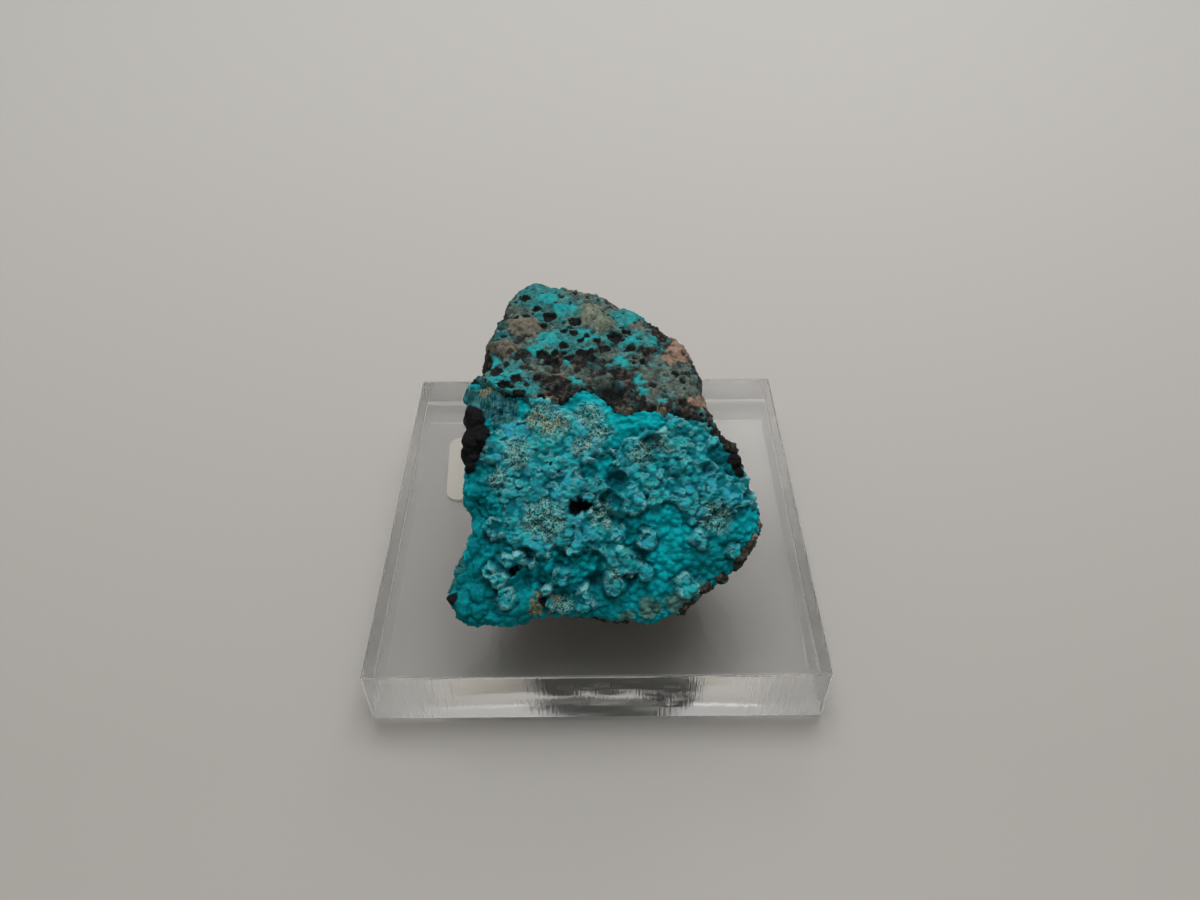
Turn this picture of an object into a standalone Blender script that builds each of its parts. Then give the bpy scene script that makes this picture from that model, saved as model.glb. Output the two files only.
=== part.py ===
"""Chrysocolla specimen on a clear acrylic square.

The rough stone sits on two pressed lumps of grey putty on the square's top face,
and a small blank card label is stuck to the square's underside. The label is
the lowest piece, so its underside is z = 0. +X is right and -Y is the front, the side
that the teal crust faces. The origin is under the middle of the square.
"""
import math

import bmesh
import bpy
from mathutils import Matrix, Vector

MM = 0.001

# Gap kept between pieces that touch
GAP = 0.3 * MM

# Card label under the square
LABEL_LENGTH = 38.0 * MM
LABEL_WIDTH = 12.0 * MM
LABEL_THICKNESS = 0.15 * MM
LABEL_CORNER_RADIUS = 1.6 * MM
LABEL_FRONT_LEFT = (-19.9 * MM, 5.2 * MM)
LABEL_TURN = math.radians(4.0)

# Clear square
BASE_SIDE = 50.0 * MM
BASE_THICKNESS = 8.0 * MM
BASE_CHAMFER = 0.25 * MM
BASE_BOTTOM = LABEL_THICKNESS + GAP
BASE_TOP = BASE_BOTTOM + BASE_THICKNESS

# Putty lumps, pressed to this height above the square
TACK_HEIGHT = 2.0 * MM
TACK_ROUNDING = 0.55 * MM
TACK_BOTTOM = BASE_TOP + GAP

# Stone
STONE_UNDERSIDE = TACK_BOTTOM + TACK_HEIGHT + GAP
STONE_VOXEL = 1.2 * MM
STONE_SMOOTHING_ROUNDS = 1
STONE_SWELL = 0.3 * MM
STONE_LUMP_SPACING = 5.0 * MM
STONE_LUMP_HEIGHT = 0.9 * MM
CUTTER_SIDE = 60.0 * MM
CUTTER_DEPTH = 6.0 * MM

# Outlines of the two putty lumps, in millimetres from the square's middle, anticlockwise.
# The front one has a scalloped front edge with a longer right end.
FRONT_TACK_OUTLINE = [
    (-7.6, -4.6), (-6.2, -6.6), (-2.6, -6.6), (-1.3, -4.9), (-0.3, -6.2), (3.2, -6.3),
    (4.4, -4.9), (5.4, -6.4), (7.4, -8.8), (9.0, -10.3), (11.1, -9.9), (12.0, -6.0),
    (11.4, -1.2), (7.0, 0.6), (1.0, -0.2), (-5.0, 0.4), (-7.9, -1.2),
]
REAR_TACK_OUTLINE = [
    (-4.4, 9.7), (1.5, 8.8), (8.0, 9.2), (10.6, 10.9), (10.8, 13.9), (6.4, 15.1),
    (2.6, 14.7), (-1.5, 15.7), (-6.8, 15.0), (-8.7, 13.4), (-7.4, 11.2),
]

# Corners of the stone in millimetres: right, back, and up from the square's top
# face. The ridge parts the crust face, which runs down to the front, from the
# rough top, which runs back level.
RIDGE_POINTS = [
    (-12.9, -4.6, 22.9), (-9.0, -5.6, 22.2), (-3.5, -7.0, 22.3), (-1.0, -5.6, 22.8),
    (3.2, -8.4, 22.1), (7.6, -8.3, 22.0), (12.0, -7.8, 21.1),
]
CRUST_EDGE_POINTS = [
    (-14.0, -8.6, 19.6), (-13.8, -12.2, 16.7), (-13.5, -14.4, 14.8), (-13.2, -17.4, 11.8),
    (-11.0, -21.6, 8.0), (-4.0, -22.8, 7.1), (1.1, -22.8, 7.1), (7.1, -23.0, 7.0),
    (10.9, -21.3, 8.3), (15.3, -18.9, 10.4), (16.8, -17.2, 12.1), (17.6, -15.8, 13.4),
    (16.8, -13.8, 15.3), (15.8, -12.0, 16.9), (15.1, -9.7, 19.1),
]
CRUST_BULGE_POINTS = [(-5.0, -13.8, 17.0), (1.0, -15.6, 16.2), (7.0, -14.2, 16.6)]
FRONT_UNDERSIDE_POINTS = [
    (-11.0, -19.8, 5.4), (-3.0, -20.9, 4.8), (6.0, -20.6, 4.8), (11.6, -17.8, 6.4),
    (15.0, -14.0, 8.8), (-9.0, -9.0, 1.8), (0.0, -11.0, 1.8), (11.0, -11.8, 1.8),
]
FRONT_BLOCK_BACK_POINTS = [
    (-12.6, -3.0, 14.0), (-9.5, -1.5, 20.0), (0.0, -2.0, 20.5), (8.5, -4.0, 19.5),
    (14.0, -6.0, 14.0), (12.6, -3.0, 1.8), (-9.6, -2.0, 1.8),
]
TOP_EDGE_POINTS = [
    (-10.4, -2.4, 22.6), (-11.0, 2.0, 22.7), (-10.9, 7.6, 22.6), (-9.9, 13.8, 22.6),
    (-7.3, 15.7, 22.7), (-4.3, 15.0, 22.7), (-1.1, 13.7, 22.6), (2.6, 10.9, 22.4),
    (6.3, 7.8, 22.4), (9.8, 3.6, 22.2), (10.7, 0.2, 22.0), (11.0, -4.4, 21.6),
]
REAR_BULGE_POINTS = [
    (-11.6, 6.0, 12.0), (-9.0, 16.0, 11.0), (-2.0, 17.6, 11.0), (6.0, 14.6, 12.0),
    (12.0, 7.6, 12.0), (12.6, -3.0, 12.0), (-11.2, -2.0, 12.0),
]
REAR_UNDERSIDE_POINTS = [
    (-9.6, -6.0, 1.8), (11.4, -6.0, 1.8), (-10.0, 3.0, 1.8), (-9.6, 14.4, 1.8),
    (0.0, 16.4, 1.8), (11.4, 14.8, 1.8), (13.0, 5.0, 1.8),
]

# Lobes that stand out from the main block: the low left corner, the low middle
# tip and the short ledge at the left end of the ridge.
LEFT_LOBE_POINTS = [
    (-15.2, -18.8, 10.4), (-15.5, -21.0, 8.7), (-15.4, -23.3, 6.7), (-11.8, -23.9, 6.2),
    (-8.5, -23.5, 6.5), (-5.4, -22.2, 7.8), (-7.6, -18.6, 11.2), (-12.4, -16.4, 12.6),
    (-14.6, -18.4, 6.6), (-13.4, -21.2, 4.9), (-8.0, -21.2, 4.9), (-8.0, -16.0, 8.0),
]
LOW_TIP_POINTS = [
    (0.8, -22.4, 7.4), (3.0, -24.1, 6.0), (5.4, -23.8, 6.3), (9.0, -22.8, 7.3),
    (9.8, -20.2, 9.9), (1.8, -20.6, 9.8), (2.4, -20.8, 4.9), (8.2, -19.8, 5.4),
]
RIDGE_LEDGE_POINTS = [
    (-14.1, -5.5, 22.9), (-13.9, -4.6, 23.6), (-11.6, -3.7, 24.0), (-8.8, -4.9, 23.0),
    (-14.2, -7.2, 21.2), (-9.0, -8.0, 19.8), (-12.6, -3.2, 20.0), (-8.8, -1.8, 20.0),
]


def clear_scene():
    for obj in list(bpy.data.objects):
        bpy.data.objects.remove(obj)


def make_collection(name):
    collection = bpy.data.collections.new(name)
    bpy.context.scene.collection.children.link(collection)
    return collection


def move_to(obj, collection):
    for old in list(obj.users_collection):
        old.objects.unlink(obj)
    collection.objects.link(obj)


def plain_material(name, colour, roughness, metallic=0.0, transmission=0.0, ior=1.5):
    material = bpy.data.materials.new(name)
    material.use_nodes = True
    shader = material.node_tree.nodes["Principled BSDF"]
    shader.inputs["Base Color"].default_value = (*colour, 1.0)
    shader.inputs["Roughness"].default_value = roughness
    shader.inputs["Metallic"].default_value = metallic
    shader.inputs["Transmission Weight"].default_value = transmission
    shader.inputs["IOR"].default_value = ior
    return material


def add_box(name, size, centre, collection):
    bpy.ops.mesh.primitive_cube_add(size=1.0, location=centre)
    box = bpy.context.active_object
    box.name = name
    box.scale = size
    bpy.ops.object.transform_apply(location=False, rotation=False, scale=True)
    move_to(box, collection)
    return box


def make_base(collection):
    """Cast acrylic square with its sharp edges just broken."""
    centre = (0.0, 0.0, BASE_BOTTOM + BASE_THICKNESS / 2)
    base = add_box("acrylic_base", (BASE_SIDE, BASE_SIDE, BASE_THICKNESS), centre, collection)
    bevel = base.modifiers.new("broken edges", "BEVEL")
    bevel.width = BASE_CHAMFER
    bevel.segments = 1
    base.data.materials.append(
        plain_material("clear acrylic", (1.0, 1.0, 1.0), 0.03, transmission=1.0, ior=1.49))
    return base


def make_label(collection):
    """Thin card with rounded corners, turned a little against the square."""
    size = (LABEL_LENGTH, LABEL_WIDTH, LABEL_THICKNESS)
    label = add_box("label", size, (0.0, 0.0, 0.0), collection)
    mesh = bmesh.new()
    mesh.from_mesh(label.data)
    upright = [edge for edge in mesh.edges
               if abs(edge.verts[0].co.z - edge.verts[1].co.z) > LABEL_THICKNESS / 2]
    bmesh.ops.bevel(mesh, geom=upright, offset=LABEL_CORNER_RADIUS, segments=6,
                    profile=0.5, affect="EDGES")
    mesh.to_mesh(label.data)
    mesh.free()
    turn = Matrix.Rotation(LABEL_TURN, 3, "Z")
    corner_to_middle = turn @ Vector((LABEL_LENGTH / 2, LABEL_WIDTH / 2, 0.0))
    label.rotation_euler = (0.0, 0.0, LABEL_TURN)
    label.location = (LABEL_FRONT_LEFT[0] + corner_to_middle.x,
                      LABEL_FRONT_LEFT[1] + corner_to_middle.y, LABEL_THICKNESS / 2)
    label.data.materials.append(plain_material("cream card", (0.70, 0.63, 0.50), 0.8))
    return label


def make_tack(name, outline, collection):
    """Putty lump: a smooth closed outline, raised, with rounded rims."""
    curve = bpy.data.curves.new(name + "_outline", "CURVE")
    curve.dimensions = "2D"
    curve.fill_mode = "BOTH"
    curve.extrude = TACK_HEIGHT / 2 - TACK_ROUNDING
    curve.bevel_depth = TACK_ROUNDING
    curve.bevel_resolution = 2
    curve.offset = -TACK_ROUNDING
    curve.resolution_u = 3
    spline = curve.splines.new("BEZIER")
    spline.bezier_points.add(len(outline) - 1)
    for point, (x, y) in zip(spline.bezier_points, outline):
        point.co = (x * MM, y * MM, 0.0)
        point.handle_left_type = "AUTO"
        point.handle_right_type = "AUTO"
    spline.use_cyclic_u = True
    drawn = bpy.data.objects.new(name + "_drawn", curve)
    collection.objects.link(drawn)
    drawn.location = (0.0, 0.0, TACK_BOTTOM + TACK_HEIGHT / 2)
    bpy.context.view_layer.update()
    depsgraph = bpy.context.evaluated_depsgraph_get()
    solid = bpy.data.meshes.new_from_object(drawn.evaluated_get(depsgraph))
    mesh = bmesh.new()
    mesh.from_mesh(solid)
    bmesh.ops.remove_doubles(mesh, verts=mesh.verts, dist=0.01 * MM)
    bmesh.ops.recalc_face_normals(mesh, faces=mesh.faces)
    mesh.to_mesh(solid)
    mesh.free()
    tack = bpy.data.objects.new(name, solid)
    tack.matrix_world = drawn.matrix_world.copy()
    collection.objects.link(tack)
    bpy.data.objects.remove(drawn)
    solid.shade_smooth()
    solid.materials.clear()
    solid.materials.append(plain_material("grey putty", (0.22, 0.22, 0.21), 0.6))
    return tack


def add_hull(mesh, points):
    """Adds the closed convex block whose corners are the given points."""
    corners = [mesh.verts.new((x * MM, y * MM, BASE_TOP + up * MM)) for x, y, up in points]
    hull = bmesh.ops.convex_hull(mesh, input=corners)
    inside = [item for item in hull["geom_interior"] if isinstance(item, bmesh.types.BMVert)]
    bmesh.ops.delete(mesh, geom=inside, context="VERTS")


def make_stone(collection, cutters):
    """Rough stone: overlapping blocks run into one, softened, then made lumpy."""
    front_block = (RIDGE_POINTS + CRUST_EDGE_POINTS + CRUST_BULGE_POINTS
                   + FRONT_UNDERSIDE_POINTS + FRONT_BLOCK_BACK_POINTS)
    rear_block = RIDGE_POINTS + TOP_EDGE_POINTS + REAR_BULGE_POINTS + REAR_UNDERSIDE_POINTS
    mesh = bmesh.new()
    for points in (front_block, rear_block, LEFT_LOBE_POINTS, LOW_TIP_POINTS,
                   RIDGE_LEDGE_POINTS):
        add_hull(mesh, points)
    data = bpy.data.meshes.new("chrysocolla_specimen")
    mesh.to_mesh(data)
    mesh.free()
    stone = bpy.data.objects.new("chrysocolla_specimen", data)
    collection.objects.link(stone)

    join = stone.modifiers.new("run together", "REMESH")
    join.mode = "VOXEL"
    join.voxel_size = STONE_VOXEL
    soften = stone.modifiers.new("soften", "SMOOTH")
    soften.factor = 0.5
    soften.iterations = STONE_SMOOTHING_ROUNDS
    swell = stone.modifiers.new("make up what softening takes", "DISPLACE")
    swell.strength = STONE_SWELL
    swell.mid_level = 0.0
    lumps = bpy.data.textures.new("stone lumps", "CLOUDS")
    lumps.noise_scale = STONE_LUMP_SPACING
    lumps.noise_depth = 2
    raise_lumps = stone.modifiers.new("lumps", "DISPLACE")
    raise_lumps.texture = lumps
    raise_lumps.texture_coords = "LOCAL"
    raise_lumps.strength = STONE_LUMP_HEIGHT
    raise_lumps.mid_level = 0.5

    cutter_centre = (0.0, 0.0, STONE_UNDERSIDE - CUTTER_DEPTH / 2)
    cutter = add_box("level_underside_cutter", (CUTTER_SIDE, CUTTER_SIDE, CUTTER_DEPTH),
                     cutter_centre, cutters)
    cutter.hide_render = True
    cutter.display_type = "WIRE"
    level = stone.modifiers.new("level where it is pressed on", "BOOLEAN")
    level.operation = "DIFFERENCE"
    level.solver = "EXACT"
    level.object = cutter

    data.materials.append(plain_material("chrysocolla", (0.0, 0.24, 0.26), 0.45))
    return stone


clear_scene()
specimen = make_collection("chrysocolla_on_acrylic_square")
cutter_collection = make_collection("cutters")
make_label(specimen)
make_base(specimen)
make_tack("tack_front", FRONT_TACK_OUTLINE, specimen)
make_tack("tack_rear", REAR_TACK_OUTLINE, specimen)
make_stone(specimen, cutter_collection)
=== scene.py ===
import math

import bmesh
import bpy
import numpy as np
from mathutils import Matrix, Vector


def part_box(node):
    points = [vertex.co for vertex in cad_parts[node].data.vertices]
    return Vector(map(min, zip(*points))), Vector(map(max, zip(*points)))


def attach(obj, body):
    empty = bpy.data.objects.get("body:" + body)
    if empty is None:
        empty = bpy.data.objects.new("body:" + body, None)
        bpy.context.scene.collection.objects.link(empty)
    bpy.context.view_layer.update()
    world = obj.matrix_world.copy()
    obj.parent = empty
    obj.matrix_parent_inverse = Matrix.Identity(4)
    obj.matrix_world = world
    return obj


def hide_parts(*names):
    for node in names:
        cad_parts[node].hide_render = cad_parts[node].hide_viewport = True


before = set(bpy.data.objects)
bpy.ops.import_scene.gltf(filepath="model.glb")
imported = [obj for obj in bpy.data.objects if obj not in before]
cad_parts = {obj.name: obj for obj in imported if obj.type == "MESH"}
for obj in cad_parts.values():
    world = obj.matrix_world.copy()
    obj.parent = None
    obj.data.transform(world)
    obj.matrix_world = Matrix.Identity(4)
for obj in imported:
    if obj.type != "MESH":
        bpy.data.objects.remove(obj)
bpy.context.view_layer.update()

# Camera, table and light
# The specimen is seen from the front and above, close up. It stands on a pale matt
# table under a broad soft light that is behind it and overhead.
MM = 0.001
# The camera is fitted to the square's corners: its place in metres, its turn in degrees and
# its lens in millimetres.
CAMERA_PLACE = (0.64 * MM, -80.17 * MM, 92.62 * MM)
CAMERA_TURN = (46.989, 0.391, -0.294)
CAMERA_LENS = 27.83
TABLE_SIDE = 1.6
TABLE_COLOUR = "A7A49F"
TABLE_FAR_PAINTED_LIGHT = "D0CECA"
# How far behind the object's middle the table starts and ends growing paler as painted light, in
# metres.
TABLE_PALES = (-0.03, 0.26)
LIGHT_SIDE = 0.35
LIGHT_PLACE = (0.02, 0.06, 0.50)
LIGHT_POWER = 1.80
ROOM_COLOUR = "FFFDFA"
ROOM_BACK_STRENGTH = 0.45
ROOM_FRONT_STRENGTH = 0.20
# From which direction to which the room grows brighter, on a scale of -1, in front, to 1.
ROOM_BRIGHTENS = (-0.8, 0.6)
# A bright spot of the room behind the object, which shines on the square's upper face.
GLOW_SIDE = (0.28, 0.78, 0.56)
GLOW_EDGE = (0.965, 0.997)
GLOW_STRENGTH = 1.9


def linear(hex_colour):
    """The linear red, green, blue and alpha of an sRGB hex value."""
    parts = [int(hex_colour[i:i + 2], 16) / 255 for i in (0, 2, 4)]
    return tuple(((c + 0.055) / 1.055) ** 2.4 if c > 0.04045 else c / 12.92 for c in parts) + (1.0,)


def add_node(tree, kind, settings=None, links=None):
    """Adds a node. settings are its properties and socket values, links feed its sockets."""
    node = tree.nodes.new(kind)
    for name, value in (settings or {}).items():
        if isinstance(name, str) and hasattr(node, name) and name not in node.inputs:
            setattr(node, name, value)
        else:
            node.inputs[name].default_value = value
    for name, source in (links or {}).items():
        tree.links.new(source, node.inputs[name])
    return node


def new_material(name):
    """An empty node material, and its tree and output."""
    material = bpy.data.materials.new(name)
    material.use_nodes = True
    material.node_tree.nodes.clear()
    output = material.node_tree.nodes.new("ShaderNodeOutputMaterial")
    return material, material.node_tree, output


def finish_material(tree, output, shader):
    """Leads the shader to the material's surface."""
    tree.links.new(shader.outputs["BSDF"], output.inputs["Surface"])


def only(obj):
    """Makes obj the one selected and active object, with faces to be picked in edit mode."""
    bpy.context.tool_settings.mesh_select_mode = (False, False, True)
    bpy.ops.object.select_all(action="DESELECT")
    obj.select_set(True)
    bpy.context.view_layer.objects.active = obj


camera_data = bpy.data.cameras.new("camera")
camera_data.lens = CAMERA_LENS
camera_data.sensor_width = 36.0
camera_data.clip_start = 5 * MM
camera = bpy.data.objects.new("camera", camera_data)
camera.location = CAMERA_PLACE
camera.rotation_euler = [math.radians(angle) for angle in CAMERA_TURN]
bpy.context.scene.collection.objects.link(camera)
bpy.context.scene.camera = camera
bpy.context.scene.view_settings.view_transform = "Standard"
# Light crosses the clear square several times before it leaves through its front edge.
bpy.context.scene.cycles.max_bounces = 24
bpy.context.scene.cycles.glossy_bounces = 16
bpy.context.scene.cycles.transmission_bounces = 16

bpy.ops.object.select_all(action="DESELECT")
bpy.ops.mesh.primitive_plane_add(size=TABLE_SIDE)
table = bpy.context.active_object
table.name = "table"
# The table is painted board, and its matt paint gives no highlight. Its colour grows paler
# towards the back, which is painted light.
material, tree, output = new_material("board, painted matt")
coordinates = add_node(tree, "ShaderNodeTexCoord")
axes = add_node(tree, "ShaderNodeSeparateXYZ", {}, {"Vector": coordinates.outputs["Object"]})
away = add_node(tree, "ShaderNodeMapRange",
                {"From Min": TABLE_PALES[0], "From Max": TABLE_PALES[1]},
                {"Value": axes.outputs["Y"]})
shade = add_node(tree, "ShaderNodeMix", {"data_type": "RGBA", 6: linear(TABLE_COLOUR),
                                         7: linear(TABLE_FAR_PAINTED_LIGHT)},
                 {0: away.outputs["Result"]})
shader = add_node(tree, "ShaderNodeBsdfPrincipled", {"Roughness": 0.6},
                  {"Base Color": shade.outputs[2]})
finish_material(tree, output, shader)
table.data.materials.append(material)

light_data = bpy.data.lights.new("overhead softbox", "AREA")
light_data.size = LIGHT_SIDE
light_data.energy = LIGHT_POWER
light = bpy.data.objects.new("overhead softbox", light_data)
light.location = LIGHT_PLACE
light.rotation_euler = (-Vector(LIGHT_PLACE)).to_track_quat("-Z", "Y").to_euler()
bpy.context.scene.collection.objects.link(light)

world = bpy.data.worlds.new("soft room light")
bpy.context.scene.world = world
world.use_nodes = True
background = world.node_tree.nodes["Background"]
background.inputs["Color"].default_value = linear(ROOM_COLOUR)
direction = add_node(world.node_tree, "ShaderNodeTexCoord")
axes = add_node(world.node_tree, "ShaderNodeSeparateXYZ", {},
                {"Vector": direction.outputs["Generated"]})
strength = add_node(world.node_tree, "ShaderNodeMapRange",
                    {"From Min": ROOM_BRIGHTENS[0], "From Max": ROOM_BRIGHTENS[1],
                     "To Min": ROOM_FRONT_STRENGTH, "To Max": ROOM_BACK_STRENGTH},
                    {"Value": axes.outputs["Y"]})
facing = add_node(world.node_tree, "ShaderNodeVectorMath",
                  {"operation": "DOT_PRODUCT", 1: GLOW_SIDE},
                  {0: direction.outputs["Generated"]})
glow = add_node(world.node_tree, "ShaderNodeMapRange",
                {"interpolation_type": "SMOOTHSTEP", "From Min": GLOW_EDGE[0],
                 "From Max": GLOW_EDGE[1], "To Max": GLOW_STRENGTH},
                {"Value": facing.outputs["Value"]})
total = add_node(world.node_tree, "ShaderNodeMath", {"operation": "ADD"},
                 {0: strength.outputs["Result"], 1: glow.outputs["Result"]})
world.node_tree.links.new(total.outputs["Value"], background.inputs["Strength"])

# Label
# A small blank card with rounded corners, stuck under the square a little askew. It is
# cream, uncoated and matt, and is seen through the clear slab.
LABEL_COLOUR = "F0ECE2"
LABEL_DARKER = "E8E3D6"
LABEL_TUFT = 0.25 * MM
BOND_DEPTH = 0.02 * MM
DOUBLES_WITHIN = 0.001 * MM
label_low, label_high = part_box("label")
base_low, base_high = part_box("acrylic_base")

label = bpy.data.objects.new("card_label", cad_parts["label"].data.copy())
bpy.context.scene.collection.objects.link(label)
only(label)
bpy.ops.object.mode_set(mode="EDIT")
bpy.ops.mesh.select_all(action="SELECT")
bpy.ops.mesh.remove_doubles(threshold=DOUBLES_WITHIN)
bpy.ops.object.mode_set(mode="OBJECT")
# The card's upper face is let into the square, so that no air shows between the two.
for vertex in label.data.vertices:
    if vertex.co.z > (label_low.z + label_high.z) / 2:
        vertex.co.z = base_low.z + BOND_DEPTH
label.data.materials.clear()
# The card is uncoated, so it has no shine. Its fibres (0.25 mm tufts, coarser than real ones,
# so that they show) cloud the cream a little.
material, tree, output = new_material("card, uncoated and cut")
coordinates = add_node(tree, "ShaderNodeTexCoord")
fibres = add_node(tree, "ShaderNodeTexNoise", {"Scale": 1 / LABEL_TUFT, "Detail": 4.0},
                  {"Vector": coordinates.outputs["Object"]})
shade = add_node(tree, "ShaderNodeMix", {"data_type": "RGBA", 6: linear(LABEL_DARKER),
                                         7: linear(LABEL_COLOUR)},
                 {0: fibres.outputs["Fac"]})
bump = add_node(tree, "ShaderNodeBump", {"Strength": 0.2, "Distance": 0.02 * MM},
                {"Height": fibres.outputs["Fac"]})
shader = add_node(tree, "ShaderNodeBsdfPrincipled", {"Roughness": 0.85},
                  {"Base Color": shade.outputs[2], "Normal": bump.outputs["Normal"]})
finish_material(tree, output, shader)
label.data.materials.append(material)
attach(label, "root")
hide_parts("label")

# Clear square
# Cast acrylic sheet, sawn to a square. Its two faces are polished, its four sides keep fine
# upright saw marks, and a narrow chamfer takes off the sharp edges.
EDGE_CHAMFER = 0.22 * MM
SAW_MARK_SPACING = 0.22 * MM
SAW_MARK_DEPTH = 0.045 * MM
SAW_MARK_STRETCH = (1.0, 1.0, 0.04)
FRONT_ROUGHNESS = 0.08
SIDE_ROUGHNESS = 0.40

only(label)
label.select_set(False)
base_size = base_high - base_low
bpy.ops.mesh.primitive_cube_add(size=1.0, location=(base_low + base_high) / 2, scale=base_size)
base = bpy.context.active_object
base.name = "clear_base"
bpy.ops.object.transform_apply(location=True, rotation=True, scale=True)
bpy.ops.object.mode_set(mode="EDIT")
bpy.ops.mesh.select_all(action="SELECT")
bpy.ops.mesh.bevel(offset=EDGE_CHAMFER, segments=2)
bpy.ops.object.mode_set(mode="OBJECT")
# Cast acrylic is clear and polished, so the label and the putty show through it. Its sawn
# sides are duller, the front one least, and their upright marks (0.22 mm apart) comb what is
# seen through them.
material, tree, output = new_material("cast acrylic, sawn and polished")
coordinates = add_node(tree, "ShaderNodeTexCoord")
stretch = add_node(tree, "ShaderNodeMapping", {"Scale": SAW_MARK_STRETCH},
                   {"Vector": coordinates.outputs["Object"]})
marks = add_node(tree, "ShaderNodeTexNoise",
                 {"Scale": 1 / SAW_MARK_SPACING, "Detail": 3.0, "Roughness": 0.6},
                 {"Vector": stretch.outputs["Vector"]})
split = add_node(tree, "ShaderNodeSeparateXYZ", {}, {"Vector": coordinates.outputs["Normal"]})
upright = add_node(tree, "ShaderNodeMath", {"operation": "ABSOLUTE"},
                   {0: split.outputs["Z"]})
on_edge = add_node(tree, "ShaderNodeMath", {"operation": "LESS_THAN", 1: 0.97},
                   {0: upright.outputs["Value"]})
mark_height = add_node(tree, "ShaderNodeMath", {"operation": "MULTIPLY"},
                       {0: marks.outputs["Fac"], 1: on_edge.outputs["Value"]})
bump = add_node(tree, "ShaderNodeBump", {"Strength": 0.9, "Distance": SAW_MARK_DEPTH},
                {"Height": mark_height.outputs["Value"]})
front = add_node(tree, "ShaderNodeMapRange",
                 {"From Min": -0.6, "From Max": -0.5, "To Min": FRONT_ROUGHNESS,
                  "To Max": SIDE_ROUGHNESS}, {"Value": split.outputs["Y"]})
dull = add_node(tree, "ShaderNodeMath", {"operation": "MULTIPLY"},
                {0: on_edge.outputs["Value"], 1: front.outputs["Result"]})
shader = add_node(tree, "ShaderNodeBsdfPrincipled",
                  {"Base Color": linear("FFFFFF"), "IOR": 1.49, "Transmission Weight": 1.0},
                  {"Normal": bump.outputs["Normal"], "Roughness": dull.outputs["Value"]})
finish_material(tree, output, shader)
base.data.materials.append(material)
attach(base, "root")
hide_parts("acrylic_base")

# Putty
# Two lumps of grey mineral tack, pressed flat between the stone and the square. They wet
# the square's top face apart from small dents of trapped air, and show through its edge.
TACK_VOXEL = 0.20 * MM
# In millimetres, apart from the pressed part, which is a share of the lump's height.
TACK_PRESSED = 0.2
TACK_DENT = 0.3
TACK_IN_STONE = 0.5
TACK_SPREAD = 0.35
TACK_BULGE = 0.25
TACK_LUMP_SIZE = 3.0
TACK_LUMP_HEIGHT = 0.9
TACK_DENT_SIZE = 0.9
TACK_SMEAR = 1.4 * MM
TACK_DARK = "42494B"
TACK_PALE = "7C8280"


def cell_random(cells, seed):
    """A fixed random number from 0 to 1 for each whole-number cell."""
    # Large odd numbers stir the cell's place and the seed into 32 bits.
    x, y, z = (cells[..., axis].astype(np.int64) for axis in range(3))
    mixed = (x * 374761393 + y * 668265263 + z * 2246822519 + seed * 3266489917) & 0xFFFFFFFF
    mixed = ((mixed ^ (mixed >> 13)) * 1274126177) & 0xFFFFFFFF
    mixed = ((mixed ^ (mixed >> 16)) * 2246822519) & 0xFFFFFFFF
    return ((mixed ^ (mixed >> 13)) & 0xFFFFFFFF) / 4294967296.0


def soft_noise(points, size, seed):
    """Smooth noise from about -1 to 1 whose bumps are size across."""
    scaled = points / size
    cells = np.floor(scaled)
    inside = scaled - cells
    fade = inside ** 3 * (inside * (inside * 6 - 15) + 10)
    total = np.zeros(len(points))
    for corner in np.ndindex(2, 2, 2):
        corner = np.array(corner)
        spot = cells + corner
        away = inside - corner
        slope = sum((cell_random(spot, seed + 7 * axis) * 2 - 1) * away[:, axis]
                    for axis in range(3))
        total += slope * np.prod(np.where(corner == 1, fade, 1 - fade), axis=1)
    # The sum alone nearly always lies between -0.6 and 0.6.
    return total * 1.6


def rough_noise(points, size, octaves, seed):
    """Noise of several sizes, each half the last."""
    return sum(soft_noise(points, size / 2 ** step, seed + 31 * step) / 2 ** step
               for step in range(octaves))


def read_mesh(mesh):
    """The places and normals of a mesh's vertices, places in millimetres."""
    places = np.empty(len(mesh.vertices) * 3)
    mesh.vertices.foreach_get("co", places)
    normals = np.empty(len(mesh.vertices) * 3)
    mesh.vertices.foreach_get("normal", normals)
    return places.reshape(-1, 3) / MM, normals.reshape(-1, 3)


def write_places(mesh, places):
    """Moves a mesh's vertices to places in millimetres."""
    mesh.vertices.foreach_set("co", (places * MM).ravel())
    mesh.update()


def merged_copy(name, node_name, voxel_size):
    """A closed copy of a CAD node in even small faces."""
    piece = bpy.data.objects.new(name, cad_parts[node_name].data.copy())
    bpy.context.scene.collection.objects.link(piece)
    only(piece)
    piece.data.materials.clear()
    bpy.ops.object.mode_set(mode="EDIT")
    bpy.ops.mesh.select_all(action="SELECT")
    bpy.ops.mesh.remove_doubles(threshold=DOUBLES_WITHIN)
    bpy.ops.object.mode_set(mode="OBJECT")
    remesh = piece.modifiers.new("remesh", "REMESH")
    remesh.mode = "VOXEL"
    remesh.voxel_size = voxel_size
    bpy.ops.object.modifier_apply(modifier="remesh")
    return piece


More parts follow.
